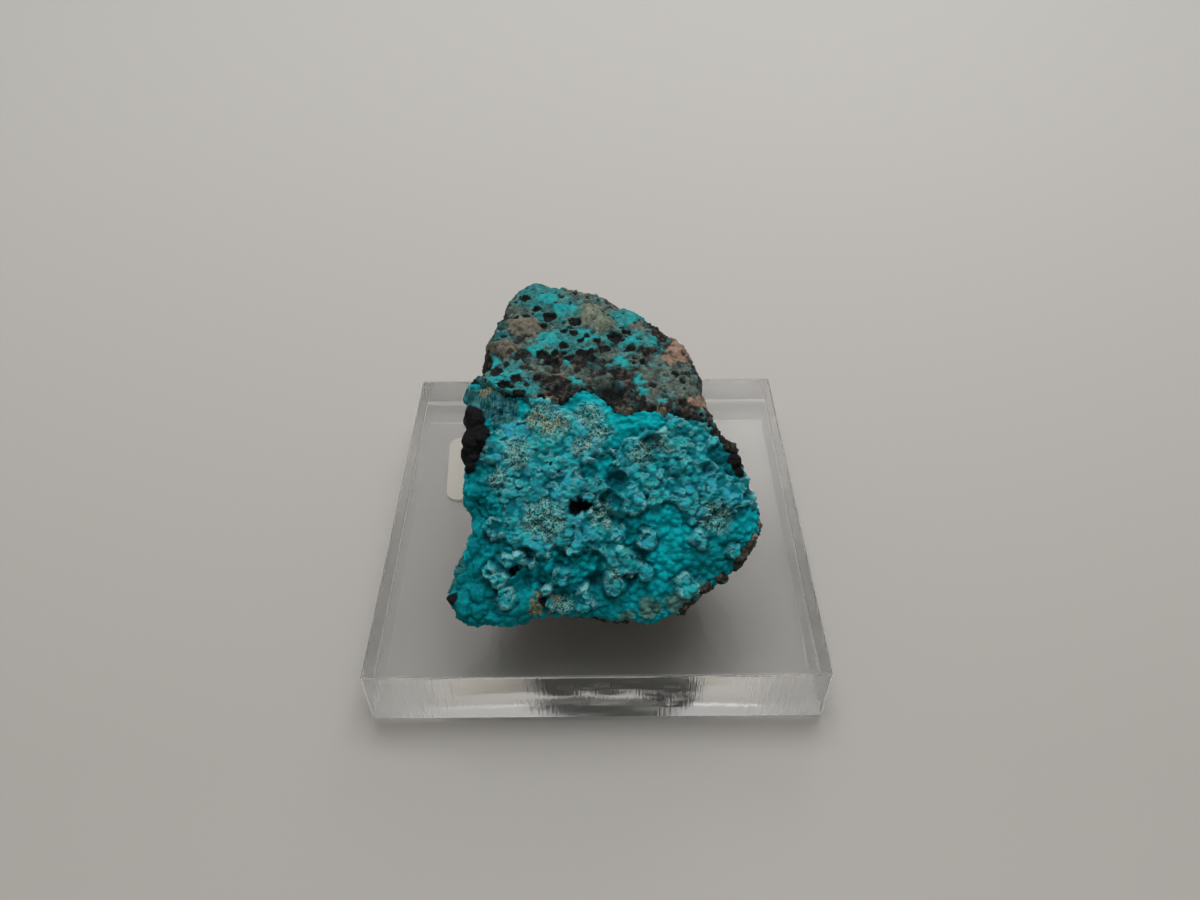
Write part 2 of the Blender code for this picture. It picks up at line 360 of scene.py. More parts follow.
# The tack is grey and slightly greasy. Kneading leaves paler and darker smears in it, about
# 1.4 mm wide.
material, tree, output = new_material("mineral tack, pressed by hand")
coordinates = add_node(tree, "ShaderNodeTexCoord")
smears = add_node(tree, "ShaderNodeTexNoise", {"Scale": 1 / TACK_SMEAR, "Detail": 5.0},
                  {"Vector": coordinates.outputs["Object"]})
patches = add_node(tree, "ShaderNodeMapRange", {"From Min": 0.38, "From Max": 0.62},
                   {"Value": smears.outputs["Fac"]})
shade = add_node(tree, "ShaderNodeMix", {"data_type": "RGBA", 6: linear(TACK_DARK),
                                         7: linear(TACK_PALE)},
                 {0: patches.outputs["Result"]})
bump = add_node(tree, "ShaderNodeBump", {"Strength": 0.4, "Distance": 0.1 * MM},
                {"Height": smears.outputs["Fac"]})
shader = add_node(tree, "ShaderNodeBsdfPrincipled", {"Roughness": 0.55},
                  {"Base Color": shade.outputs[2], "Normal": bump.outputs["Normal"]})
finish_material(tree, output, shader)

# A lump bulges in the middle of its height. Its lowest fifth is pressed flat on the square, and
# its top sinks into the stone.
for node_name, piece_name in (("tack_front", "putty_front"), ("tack_rear", "putty_rear")):
    low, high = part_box(node_name)
    tack = merged_copy(piece_name, node_name, TACK_VOXEL)
    places, normals = read_mesh(tack.data)
    up = np.clip((places[:, 2] - low.z / MM) / ((high.z - low.z) / MM), 0, 1)
    lumps = rough_noise(places, TACK_LUMP_SIZE, 4, 201)
    side = 1 - np.abs(normals[:, 2])
    spread = TACK_SPREAD + TACK_LUMP_HEIGHT * lumps
    places[:, :2] += normals[:, :2] * (spread * side)[:, None]
    places[:, :2] += normals[:, :2] * (TACK_BULGE * np.sin(up * math.pi) * side)[:, None]
    dents = rough_noise(places * (1.0, 0.5, 1.0), TACK_DENT_SIZE, 3, 203)
    dents = np.maximum(dents - 0.42, 0)
    bottom = (base_high.z - BOND_DEPTH) / MM + TACK_DENT * dents
    risen = np.maximum((up - TACK_PRESSED) / (1 - TACK_PRESSED), 0)
    places[:, 2] = bottom + risen * (high.z / MM + TACK_IN_STONE - bottom)
    write_places(tack.data, places)
    bpy.ops.object.shade_smooth()
    tack.data.materials.append(material)
    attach(tack, "root")
    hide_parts(node_name)

# Stone
# Chrysocolla on its host rock. The host is brown and black rock with tan sandy grains and
# turquoise stains, and its top is full of small round pits. It grew as one with the crust.
ROCK_VOXEL = 0.52 * MM
ROCK_GRIT = 0.28 * MM
# In millimetres: how far the smooth body swells out, and how softly knobs melt together.
SWELL = 0.30
MELT = 0.035
# The slope of the crusted face, and the point that places on it are measured from.
FACE_RISE = 0.673
FACE_RUN = 0.740
CRUST_FACE = Vector((0.0, -FACE_RISE, FACE_RUN))
CRUST_ORIGIN = (0.0, -15.0, 22.63)
# The height of the stone's top over the floor, in millimetres.
TOP_LEVEL = 30.85
# The line where the crust ends and the top begins: x and y in millimetres.
RIDGE_LINE = ((-16.0, -3.4), (-12.6, -4.6), (-10.5, -5.5), (-9.0, -6.2), (-6.6, -6.9),
              (-3.5, -7.4), (-1.2, -5.9), (0.1, -6.2), (2.0, -8.1), (3.2, -8.6),
              (4.9, -7.9), (7.5, -8.4), (9.2, -9.2), (11.5, -9.3), (18.0, -9.6))
# Round spots on the top, put there after the photograph: x, y and radius in
# millimetres, at the level of the top.
PITS = ((-3.5, 6.1, .38), (-2.3, 5.9, .43), (-1.5, 4.5, .38), (0.3, 4.3, .43),
        (-0.8, 5.2, .28), (-3.4, 3.6, .48), (-4.4, 2.4, .42), (-3.3, 2.4, .37),
        (-2.8, 1.1, .54), (1.0, 2.8, .41), (1.5, 2.9, .31), (-1.2, 1.8, .76),
        (-0.3, 1.4, .5), (-6.7, 10.7, .45), (-5.1, 9.0, .71), (-8.3, 12.9, .64),
        (-7.9, 9.3, .39), (-5.8, 7.3, .39), (-2.3, 8.1, .62), (2.3, 4.9, .77),
        (3.6, 5.9, .43), (4.1, 3.0, .51), (-8.4, -2.3, .49), (-9.6, -3.3, .57),
        (-10.5, -1.0, .66), (-7.9, -4.9, .64), (-9.2, -5.8, .64), (-5.7, 2.0, .68),
        (-4.7, .8, .75))
TURQUOISE_STAINS = ((-5.3, 4.9, 1.0), (-2.4, 4.8, 2.6), (-6.5, 13.2, 2.7), (-3.2, 10.0, 2.1),
                    (3.9, 8.3, 2.1), (4.6, 4.2, 1.5), (-11.2, .5, 1.0), (-9.4, -.6, 1.0),
                    (-10.2, -3.0, 1.6), (-7.3, -3.8, 1.3), (-5.8, 8.8, 1.2), (1.5, 5.2, 1.2),
                    (6.9, 4.1, .7), (-10.2, 5.2, 1.0), (-6.4, 2.6, 1.0), (2.9, .3, .9))
SANDY_LUMPS = ((-7.7, 6.8, 1.75), (-8.9, 7.4, 1.2), (-10.0, 2.9, 1.5), (-11.0, 3.0, 1.0),
               (-2.5, 8.2, .7), (5.3, 7.1, .8))
OLIVE_LUMPS = ((-.2, 9.0, 1.7), (.9, 7.4, 1.5), (-.6, 10.2, 1.0))
SOLID_TURQUOISE = ((-5.3, 4.9, 1.1), (-11.3, .4, .9), (-6.4, 2.6, .8), (-8.6, -1.9, .8),
                   (-9.9, -2.4, 1.2), (-7.4, -4.4, .7), (-3.4, 10.6, 1.0), (-5.6, 12.6, 1.0),
                   (3.6, 8.4, .9), (4.4, 4.4, .6), (6.9, 4.3, .6), (3.0, .3, .6), (-2.0, -2.6, .5),
                   (4.8, -3.0, .6), (5.1, -4.7, .4), (-.8, -5.2, .4), (-1.0, 5.4, 1.0),
                   (7.4, -.3, .1), (7.0, -6.3, .2), (-3.1, .3, .2))
PINK_SPOTS = ((9.4, 4.2, .8), (9.3, 2.7, 1.3), (8.8, .7, .9), (10.8, -6.6, .9), (9.9, 1.2, .9))
BLACK_AREAS = ((-4.2, -1.8, 1.8), (-2.9, -3.9, 1.8), (1.6, -4.5, 1.8), (3.5, -6.0, 1.3),
               (1.7, -1.3, 1.65), (-1.3, -1.3, 1.15), (-7.9, 1.8, 1.0), (5.4, 2.4, 1.0),
               (6.5, 7.7, .9), (7.8, 5.6, 1.0), (8.6, -8.8, .8), (10.1, -9.5, .6),
               (.4, .3, 1.0))
GREEN_GRAINS = ((6.9, -1.9, 2.1), (8.4, -4.0, 1.9), (5.9, -5.5, 1.3), (1.7, 1.9, 1.35),
                (-3.0, 12.0, 4.6), (3.5, 8.5, 3.2), (-8.0, 11.5, 3.0), (-2.0, 6.0, 3.6),
                (5.0, 4.5, 2.0), (-6.5, 3.5, 2.0), (-10.0, -1.0, 2.0), (-8.0, -2.5, 1.6),
                (-6.0, 0.5, 1.3), (9.6, -3.4, 1.7), (9.0, -0.6, 1.2), (10.6, -4.8, 1.2))
PALE_CRUMBS = ((-1.9, -1.7, 1.2), (.9, -2.6, .9), (-3.2, -.5, .8), (-5.4, -.8, .5),
               (2.7, 2.0, 1.2), (4.9, .6, 1.1), (6.6, .3, 1.1))
BROWN_STRIPS = ((-6.3, -6.3, .95), (-4.8, -5.9, .95), (-3.8, -1.8, .7), (3.1, -8.2, .9),
                (6.6, -8.0, .9), (-11.1, -4.3, 1.0), (-9.8, -5.6, .7))
DARK_HOLLOW = ((1.6, -4.5, 1.7),)
# Where the sides pull in: x, y, radius and depth in millimetres.
HOLLOWED_SIDES = ((-13.2, -0.5, 2.5, 2.0), (13.2, -3.5, 2.6, 0.7), (14.6, -7.6, 2.4, 0.8))
# Spots at the edge of the face where no crust grew: across, up and radius in millimetres.
BARE_EDGE = ((16.6, -3.8, 0.8), (15.3, -5.5, 0.9), (13.4, -7.5, 0.9), (12.0, -8.4, 1.0),
             (10.0, -9.8, 0.9), (14.3, 7.2, 0.9), (-15.3, -8.8, 0.5))


def knobs(points, size, small, large, seed):
    """Round knobs one to each cell, melted together: their height, and the tallest's centre."""
    scaled = points / size
    cells = np.floor(scaled)
    height = np.zeros(len(points))
    total = np.zeros(len(points))
    centre = np.array(points)
    for step in np.ndindex(3, 3, 3):
        spot = cells + np.array(step) - 1
        middle = spot + np.stack([cell_random(spot, seed + 11 * axis) for axis in range(3)], 1)
        radius = small / size + (large - small) / size * cell_random(spot, seed + 53)
        drop = radius ** 2 - ((scaled - middle) ** 2).sum(axis=1)
        here = np.sqrt(np.maximum(drop, 0)) * size
        total += np.exp(here / MELT)
        taller = here > height
        height = np.where(taller, here, height)
        centre[taller] = middle[taller] * size
    # Each of the 27 cells adds 1 where its knob doesn't reach, so bare ground comes out at 0.
    return np.log(total / 27) * MELT, centre


def reach(across, along, spots):
    """How far a place is inside the nearest of some round spots, in millimetres."""
    return np.max([radius - np.hypot(across - x, along - y) for x, y, radius in spots], axis=0)


def ramp(value, low, high):
    """0 below low, 1 above high and a smooth rise between them."""
    part = np.clip((value - low) / (high - low), 0, 1)
    return part * part * (3 - 2 * part)


def smooth_over(mesh, values, rounds):
    """Averages values between neighbouring vertices."""
    ends = np.empty(len(mesh.edges) * 2, dtype=np.int64)
    mesh.edges.foreach_get("vertices", ends)
    first, second = ends.reshape(-1, 2).T
    count = np.bincount(ends, minlength=len(values))[:, None]
    for _ in range(rounds):
        total = np.zeros_like(values)
        np.add.at(total, first, values[second])
        np.add.at(total, second, values[first])
        values = (values + total / np.maximum(count, 1)) / 2
    return values


def paint(mesh, layers):
    """Stores named numbers on the vertices, which the material reads."""
    for name, values in layers.items():
        attribute = mesh.attributes.new(name, "FLOAT", "POINT")
        attribute.data.foreach_set("value", values.astype(np.float32))


def on_face(places):
    """Where a place lies on the crusted face: across it and up it, in millimetres."""
    _, y, z = (places - np.array(CRUST_ORIGIN)).T
    return places[:, 0], y * FACE_RUN + z * FACE_RISE


def on_level(places):
    """Where the photograph's line of sight through a place meets the level of the top."""
    eye = np.array(CAMERA_PLACE) / MM
    share = (TOP_LEVEL - eye[2]) / (places[:, 2] - eye[2])
    return eye[0] + (places[:, 0] - eye[0]) * share, eye[1] + (places[:, 1] - eye[1]) * share


def crust_depth(places, normals):
    """How far inside the crusted face a place is, in millimetres; below 0 is bare rock."""
    ridge_x, ridge_y = zip(*RIDGE_LINE)
    behind_ridge = np.interp(places[:, 0], ridge_x, ridge_y) - places[:, 1]
    turned = normals @ np.array(CRUST_FACE)
    depth = np.minimum(behind_ridge + 0.9, (turned + 0.30) * 5)
    across, up = on_face(places)
    depth = np.minimum(depth, 0.4 - 1.5 * reach(across, up, BARE_EDGE))
    side = ramp(0.45 - normals[:, 2], 0.0, 0.3)
    depth += 2.2 * side * rough_noise(places, 5.0, 3, 7)
    return depth + 0.35 * rough_noise(places, 1.6, 3, 5)


def smooth_body(name, voxel_size):
    """A smooth copy of the stone's simple solid, in even small faces."""
    piece = merged_copy(name, "chrysocolla_specimen", voxel_size)
    places, _ = read_mesh(piece.data)
    write_places(piece.data, smooth_over(piece.data, places, 4))
    places, normals = read_mesh(piece.data)
    push = np.full(len(places), SWELL)
    for across, along, radius, depth in HOLLOWED_SIDES:
        far = np.hypot(places[:, 0] - across, places[:, 1] - along)
        push -= depth * ramp(radius - far, -1.0, radius)
    write_places(piece.data, places + normals * push[:, None])
    return piece


rock = smooth_body("host_rock", ROCK_VOXEL)
# Bare rock gets smaller faces, and what looks up gets the smallest.
for deepest, least_up in ((1.8, -1.1), (0.8, 0.35)):
    places, normals = read_mesh(rock.data)
    chosen = (crust_depth(places, normals) < deepest) & (normals[:, 2] > least_up)
    for face in rock.data.polygons:
        face.select = all(chosen[index] for index in face.vertices)
    bpy.ops.object.mode_set(mode="EDIT")
    bpy.ops.mesh.subdivide(number_cuts=1, smoothness=0.0)
    bpy.ops.mesh.select_all(action="DESELECT")
    bpy.ops.object.mode_set(mode="OBJECT")
places, normals = read_mesh(rock.data)
places = smooth_over(rock.data, places, 2)
write_places(rock.data, places)
places, normals = read_mesh(rock.data)
x, y = on_level(places)
top = ramp(normals[:, 2], 0.2, 0.5)
upper = ramp(normals[:, 2], 0.0, 0.35)
ragged = rough_noise(places, 1.1, 3, 41)
fine_ragged = rough_noise(places, 0.5, 2, 43)
covered = ramp(crust_depth(places, normals), 0.1, 1.4)

# The stains, each from 0 to 1: on the top by the lists above, on the sides by noise alone.
turquoise = 0.72 * ramp(reach(x, y, TURQUOISE_STAINS) + 0.9 * ragged, -1.6, 0.3) * top
solid = ramp(reach(x, y, SOLID_TURQUOISE) + 0.7 * ragged, -0.8, 0.5) * top
turquoise = np.maximum(turquoise, solid)
turquoise = np.maximum(turquoise, (1 - top) * ramp(rough_noise(places, 6.0, 5, 61), 0.25, 0.9))
black = ramp(reach(x, y, BLACK_AREAS) + 0.9 * rough_noise(places, 1.0, 3, 47), -0.4, 0.2) * top
black = np.maximum(black, (1 - top) * ramp(rough_noise(places, 4.0, 5, 67), 0.1, 0.9))
tan = 0.85 * ramp(reach(x, y, SANDY_LUMPS) + 0.8 * ragged, -0.5, 0.4) * upper
olive = 0.85 * ramp(reach(x, y, OLIVE_LUMPS) + 0.8 * ragged, -0.7, 0.6) * top
pink = 0.85 * ramp(reach(x, y, PINK_SPOTS) + 0.7 * ragged, -0.5, 0.4)
green = ramp(reach(x, y, GREEN_GRAINS) + 0.8 * ragged, -0.8, 0.7) * upper
crumbs = ramp(reach(x, y, PALE_CRUMBS) + 0.8 * ragged, -0.9, 0.6) * top
green = 0.85 * np.maximum(green, crumbs)
haze = ramp(rough_noise(places, 1.3, 3, 137), -0.1, 0.6) * top
turquoise = np.maximum(turquoise, 0.5 * haze)
black *= (1 - 0.85 * crumbs) * (1 - 0.4 * haze)
brown = ramp(reach(x, y, BROWN_STRIPS) + 0.4 * ragged, -0.2, 0.3) * top
brown = np.maximum(brown, 0.8 * (1 - top) * ramp(rough_noise(places, 5.0, 5, 145), 0.1, 0.8))
# On the left the rock beside the crust is stained teal.
beside = crust_depth(places, normals) + 1.8 * rough_noise(places, 3.0, 4, 143)
beside = ramp(beside, -1.8, -0.2) * ramp(-places[:, 0], 9.5, 11.5)
beside *= ramp(-places[:, 1], 2.0, 6.0)
beside *= ramp(0.6 - normals[:, 2], 0.0, 0.3) * ramp(normals[:, 2], -0.75, -0.45)
turquoise = np.maximum(turquoise, beside)
black *= 1 - beside
# Pits and small black flecks in clusters, and fine slanting strata on the left.
in_pit = reach(x, y, PITS) + 0.14 * fine_ragged
pit = ramp(in_pit, -0.08, 0.14) * top
hollow = ramp(reach(x, y, DARK_HOLLOW), -0.6, 1.2) * top
lumps = np.maximum(np.maximum(tan, pink), olive)
turquoise *= 1 - lumps
blotch = 0.62 * ramp(rough_noise(places, 0.9, 3, 139), 0.1, 0.5) * top * (1 - 0.7 * solid)
black = np.maximum(black, blotch) * (1 - np.maximum(tan, 0.8 * pink))
fleck, _ = knobs(places, 1.0, 0.12, 0.50, 73)
clusters = ramp(rough_noise(places, 2.2, 2, 75), -0.55, -0.1) * top
clusters *= (1 - 0.8 * lumps) * (1 - 0.4 * solid)
fleck_dark = ramp(fleck, 0.02, 0.12) * clusters
fleck = ramp(fleck, 0.08, 0.25) * clusters
line = np.stack([(y + 0.33 * x) / 0.42, x / 6.0, 0 * x], 1)
strata = soft_noise(line, 1.0, 77) * ramp(-x, 6.0, 8.5) * ramp(-y, 0.5, 2.5) * top

# The rock's relief, in millimetres: swells and grit, sandy lumps that stand proud, and the
# pits and hollows. Under the crust the rock sinks away.
grain, _ = knobs(places, 0.55, 0.22, 0.40, 71)
height = 0.30 * rough_noise(places, 3.2, 3, 11) + 0.16 * ragged + 0.12 * fine_ragged
height += 0.5 * grain * (1 - 0.6 * turquoise) - 0.3 - 0.30 * fleck + 0.18 * strata
proud = ramp(reach(x, y, SANDY_LUMPS + OLIVE_LUMPS) + 0.2 * ragged, -0.2, 1.0)
height += 0.75 * proud * upper
height += 0.10 * turquoise - 0.25 * black - 0.50 * pit - 1.2 * hollow
height -= 2.2 * covered
write_places(rock.data, places + normals * height[:, None])
# Near black in and just around the pits and in the dark hollow, as painted shade, and on the small
# flecks.
pit_shade_and_fleck_dark = np.maximum(ramp(in_pit, -0.20, -0.04) * top, fleck_dark)
layers = {"turquoise": turquoise, "solid": solid, "olive": olive, "tan": tan, "pink": pink,
          "green": green, "brown": brown, "grain": np.clip(grain / 0.35, 0, 1),
          "black": np.maximum(0.8 * black, ramp(-strata, 0.15, 0.4)),
          "pit": np.maximum(pit_shade_and_fleck_dark, 0.9 * hollow)}
paint(rock.data, layers)
bpy.ops.object.shade_smooth()

# The rock is broken and weathered, so it is dull and gritty (0.28 mm grit). Teal, tan, pink,
# green and black stains lie over it in patches whose edges follow the grains.
material, tree, output = new_material("host rock, broken and weathered")
coordinates = add_node(tree, "ShaderNodeTexCoord")
spot = coordinates.outputs["Object"]
broad = add_node(tree, "ShaderNodeTexNoise", {"Scale": 1 / (1.5 * MM), "Detail": 5.0,
                                              "Roughness": 0.65}, {"Vector": spot})
patchy = add_node(tree, "ShaderNodeTexNoise", {"Scale": 1 / (0.8 * MM), "Detail": 5.0,
                                               "Roughness": 0.7}, {"Vector": spot})
grit = add_node(tree, "ShaderNodeTexNoise", {"Scale": 1 / ROCK_GRIT, "Detail": 4.0,
                                             "Roughness": 0.6}, {"Vector": spot})
wide = broad.outputs["Fac"]
broad_edge, mottle, soft, fine = (
    add_node(tree, "ShaderNodeMapRange", {"From Min": low, "From Max": high},
             {"Value": pattern.outputs["Fac"]}).outputs["Result"]
    for pattern, low, high in ((broad, 0.40, 0.60), (patchy, 0.36, 0.64), (patchy, 0.30, 0.70),
                               (grit, 0.40, 0.62)))


def lay_colours(tree, recipe):
    """Lays the colours of a recipe over each other and gives the socket of the result. A recipe
    is an amount, the colour under and the colour over. An amount is a socket, or two to be
    multiplied, and a colour is a hex value or a recipe too."""
    amount, under, over = recipe
    if isinstance(amount, tuple):
        product = add_node(tree, "ShaderNodeMath", {"operation": "MULTIPLY"},
                           {0: amount[0], 1: amount[1]})
        amount = product.outputs["Value"]
    settings = {"data_type": "RGBA"}
    links = {0: amount}
    for socket, colour in ((6, under), (7, over)):
        if isinstance(colour, str):
            settings[socket] = linear(colour)
        else:
            links[socket] = lay_colours(tree, colour)
    return add_node(tree, "ShaderNodeMix", settings, links).outputs[2]


def read_paint(tree, layers):
    """The sockets of the numbers that paint stored on the vertices, by name."""
    return {name: add_node(tree, "ShaderNodeAttribute", {"attribute_name": name}).outputs["Fac"]
            for name in layers}


def broken_edge(tree, value, pattern, spread):
    """A painted value whose edge a pattern breaks up; a wider spread breaks it up more."""
    shift = add_node(tree, "ShaderNodeMath", {"operation": "MULTIPLY_ADD", 1: spread,
                                              2: -spread / 2}, {0: pattern})
    total = add_node(tree, "ShaderNodeMath", {"operation": "ADD"},
                     {0: value, 1: shift.outputs["Value"]})
    edge = add_node(tree, "ShaderNodeMapRange",
                    {"From Min": spread / 2, "From Max": 1 - spread / 2},
                    {"Value": total.outputs["Value"]})
    return edge.outputs["Result"]


laid = read_paint(tree, layers)
colour = (mottle, (fine, "2A2826", "45413B"), (fine, "615A50", "8E8474"))
colour = (laid["grain"], "1F2020", colour)
teal = (soft, "1B5054", (fine, (broad_edge, "1A8288", "3A8884"), (broad_edge, "17A0A6", "5FA8A0")))
teal = ((laid["solid"], soft), teal, "14A9AE")
for name, pattern, spread, tones in (
        ("green", soft, 0.6, (mottle, "33403C", (fine, "56675F", "77867A"))),
        ("brown", mottle, 0.6, (mottle, "4A3E34", "A08E78")),
        ("tan", soft, 0.5, (mottle, "4E483F", (wide, "857B69", "7C8378"))),
        ("pink", soft, 0.6, (mottle, "5F5044", "A08472")),
        ("olive", soft, 0.5, (mottle, "54625A", (fine, "76806F", "93977F"))),
        ("turquoise", soft, 0.5, teal),
        ("black", soft, 0.6, ((fine, laid["grain"]), "131617", "6E685E")),
        # The pits and the dark hollow are painted near black as shade.
        ("pit", fine, 0.3, (fine, "0E1213", "232626"))):
    colour = (broken_edge(tree, laid[name], pattern, spread), colour, tones)
bump = add_node(tree, "ShaderNodeBump", {"Strength": 0.6, "Distance": 0.12 * MM},
                {"Height": grit.outputs["Fac"]})
shader = add_node(tree, "ShaderNodeBsdfPrincipled",
                  {"Roughness": 0.8, "Specular IOR Level": 0.15},
                  {"Base Color": lay_colours(tree, colour), "Normal": bump.outputs["Normal"]})
finish_material(tree, output, shader)
rock.data.materials.append(material)
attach(rock, "root")
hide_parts("chrysocolla_specimen")

# Crust
# Chrysocolla, a blue-green copper silicate, grown over the sloping front face as a crust of
# small round knobs. Patches of it stand higher, with pale frilled rims and a crinkled druse.
CRUST_VOXEL = 0.57 * MM
CRUST_LEVELS = 2
CRUST_GRIT = 0.22 * MM
CRUST_OVERLAP = 0.9
CRUST_HEART = (0.0, -4 * MM, 19 * MM)
NODULE_CELL = 0.76
CUP_RADIUS = 0.32
# Round spots on the face, put there after the photograph: across, up and radius in
# millimetres.
CLEAN_KNOBS = ((-11.4, 4.5, 1.5), (-11.9, 1.6, 1.7), (-11.9, -1.5, 2.0), (-13.3, -5.3, 2.2),
               (-12.3, -7.2, 2.5), (-12.3, -9.3, 2.5), (-2.6, -5.8, 1.5), (-0.7, -6.1, 2.7),
               (0.7, -8.7, 2.2), (3.6, -4.7, 2.0), (6.5, -5.5, 2.7), (9.8, -4.5, 2.7),
               (12.7, -4.1, 2.5), (15.3, -2.4, 2.7), (16.1, -0.5, 1.7), (1.4, 9.9, 1.7),
               (3.8, 9.4, 1.7), (6.2, 9.7, 1.5), (-7.8, 11.2, 1.5), (2.3, 3.6, 1.2),
               (1.5, 1.7, 1.1), (2.2, -0.2, 0.9), (7.5, -0.7, 2.2), (5.8, 7.2, 1.1),
               (-0.6, 4.6, 1.2), (13.1, 6.2, 1.5), (-5.4, -5.6, 1.5), (-7.8, -6.0, 1.2),
               (-3.8, -4.2, 1.2))
RAISED_PATCHES = ((-5.9, 7.6, 4.9), (-8.1, 6.1, 3.7), (-4.7, 3.2, 4.9), (-5.4, -0.1, 4.2),
                  (-2.6, -1.6, 2.9), (-0.6, 2.5, 2.0), (5.2, 5.1, 3.7), (9.3, 6.5, 3.7),
                  (10.9, 3.1, 3.7), (8.0, 1.7, 2.9), (14.2, 1.6, 2.0), (1.3, -2.6, 1.5),
                  (-1.5, 7.5, 2.9), (9.6, 9.4, 2.5))
ISLANDS = ((4.0, 1.4, 1.5), (5.9, 3.1, 1.5), (2.9, -4.9, 1.7), (10.6, -2.4, 0.8),
           (9.4, -7.2, 1.2), (-1.2, -8.6, 1.2), (-9.9, -6.6, 0.9), (-9.1, -8.3, 1.0),
           (14.1, -4.0, 0.7), (5.1, -2.6, 1.1), (1.8, -7.0, 1.3), (-10.2, -1.2, 1.2),
           (5.2, -6.1, 0.8), (-7.5, -4.1, 0.8), (-9.2, -4.6, 0.8), (-10.9, -5.7, 0.7),
           (-3.6, -6.2, 1.0), (-5.1, -7.8, 0.9), (-6.7, -5.0, 0.6), (-4.6, -9.1, 0.8))
POCKETS = ((2.3, 3.6, 1.0), (1.5, 1.7, 0.9), (2.2, -0.2, 0.7), (-5.7, -6.3, 0.9),
           (-8.5, -5.5, 0.8), (-7.4, -6.6, 1.0), (-3.6, -4.2, 1.0), (-3.0, -8.3, 0.8),
           (-11.9, 0.4, 1.4), (4.5, -4.2, 1.0), (0.4, -6.6, 1.2), (-0.2, -4.4, 0.9),
           (3.4, -6.4, 0.9), (-7.0, -4.2, 0.8), (-10.2, -7.6, 0.7), (8.6, 3.9, 0.7),
           (11.3, 4.6, 0.6))
CAVITY = ((-1.6, 0.7, 1.1),)
BLACK_LUMPS = ((-12.4, 8.1, 1.7), (-12.9, 10.1, 1.5), (-13.1, 6.4, 1.2), (-12.9, 5.0, 0.6),
               (14.7, 5.5, 1.0), (15.0, 4.5, 0.7), (-14.8, -8.6, 0.6))
BLACK_SPECKS = ((-8.5, -5.6, 0.45), (-5.5, -8.9, 0.6), (-4.4, 5.1, .2), (-3.5, 4.7, .25),
                (-2.8, 5.4, .15), (4.6, 6.6, 0.1), (5.4, 6.0, 0.15), (-6.0, 9.6, 0.2),
                (-4.2, 9.9, 0.1), (9.6, 9.9, 0.3), (11.2, 9.8, 0.4), (12.4, 9.2, 0.2))
BROWN_DRUSE = ((-11.4, 13.4, 0.6), (-9.8, 13.0, 0.5), (-6.0, 9.7, 0.9), (-4.6, 9.3, 0.8),
               (-1.3, 7.1, 0.4), (-5.6, -9.2, 1.0), (-4.2, -9.0, 0.5))
LARGE_DOMES = ((-12.3, -7.2, 3.0), (-12.3, -9.3, 2.6), (-12.1, 1.6, 1.9), (-12.1, -1.5, 2.2),
               (-11.6, 4.5, 1.6), (-8.0, -10.0, 1.6), (-13.3, -4.8, 2.0))
# Where the knobs are a brighter teal. By the ridge, where the face turns up, it is painted light,
# and elsewhere it is the knobs' own colour.
VIVID_AND_PAINTED_LIGHT = ((1.4, 9.9, 1.7), (3.8, 9.4, 1.9), (6.2, 9.7, 1.7), (-0.4, 10.9, 1.6), (7.5, -0.7, 2.2),
         (0.7, -4.6, 1.6), (-7.8, 11.2, 1.5), (8.8, 9.6, 1.2), (15.3, -0.4, 1.5),
         (-2.0, 10.6, 1.0), (6.5, -5.5, 1.8), (2.0, 5.3, 1.4))
# Where the knobs are painted darker as shade: on the left edge, and low on the face where it turns
# under.
SHADED = ((-3.5, -8.5, 2.2), (-12.3, -7.2, 3.0), (-12.3, -9.3, 3.0), (-11.9, 1.6, 1.9),
          (-11.9, -1.5, 2.2), (-8.0, -10.0, 2.0), (12.7, -4.1, 2.6), (-11.4, 4.5, 1.6),
          (0.7, -9.5, 2.2), (9.0, -8.5, 2.4))
DULL_EDGE = ((8.5, -9.3, 1.3), (5.5, -9.8, 1.3), (11.0, -8.2, 1.0), (3.1, -10.6, 1.0))
DARK_TEAL = ((-10.2, 11.5, 1.5), (-11.7, 12.0, 1.5), (5.8, 7.2, 1.1), (13.1, 6.2, 1.3),
             (2.3, 3.6, 1.3), (1.5, 1.7, 1.1))
STRIPED_CORNER = ((-10.2, 11.5, 1.9), (-11.9, 12.0, 1.9))
SANDY_DRUSE = ((-5.4, 10.2, 1.7), (-3.9, 9.5, 1.5), (-1.3, 7.1, 0.9), (-8.1, 6.6, 1.5),
               (-5.2, -0.4, 2.0), (-0.6, 10.4, 1.5), (0.6, 8.5, 1.2), (4.7, 6.3, 1.2),
               (6.9, 7.5, 1.0), (12.5, -0.3, 1.5), (0.8, 0.1, 1.2), (-10.2, 3.8, 1.0),
               (-3.6, -9.6, 1.0), (1.7, -5.9, 0.7))


def inside_island(places):
    """How far inside a small raised island a place is, in millimetres."""
    across, up = on_face(places)
    return reach(across, up, ISLANDS) + 0.5 * rough_noise(places, 1.6, 3, 83) - 0.10


def inside_raised(places):
    """How far inside a raised patch or island a place is, in millimetres."""
    across, up = on_face(places)
    ragged = rough_noise(places, 1.6, 3, 83)
    patches = reach(across, up, RAISED_PATCHES) + 1.3 * ragged
    clean = reach(across, up, CLEAN_KNOBS) + 0.3 * ragged
    return np.maximum(np.minimum(patches, 0.2 - clean), inside_island(places))


# The crust is the part of the body on the crusted face, with a strip that goes under the
# rock's edge.
crust = smooth_body("chrysocolla_crust", CRUST_VOXEL)
places, normals = read_mesh(crust.data)
depth = crust_depth(places, normals)
for face in crust.data.polygons:
    face.select = max(depth[index] for index in face.vertices) < -CRUST_OVERLAP
bpy.ops.object.mode_set(mode="EDIT")
bpy.ops.mesh.delete(type="FACE")
bpy.ops.object.mode_set(mode="OBJECT")
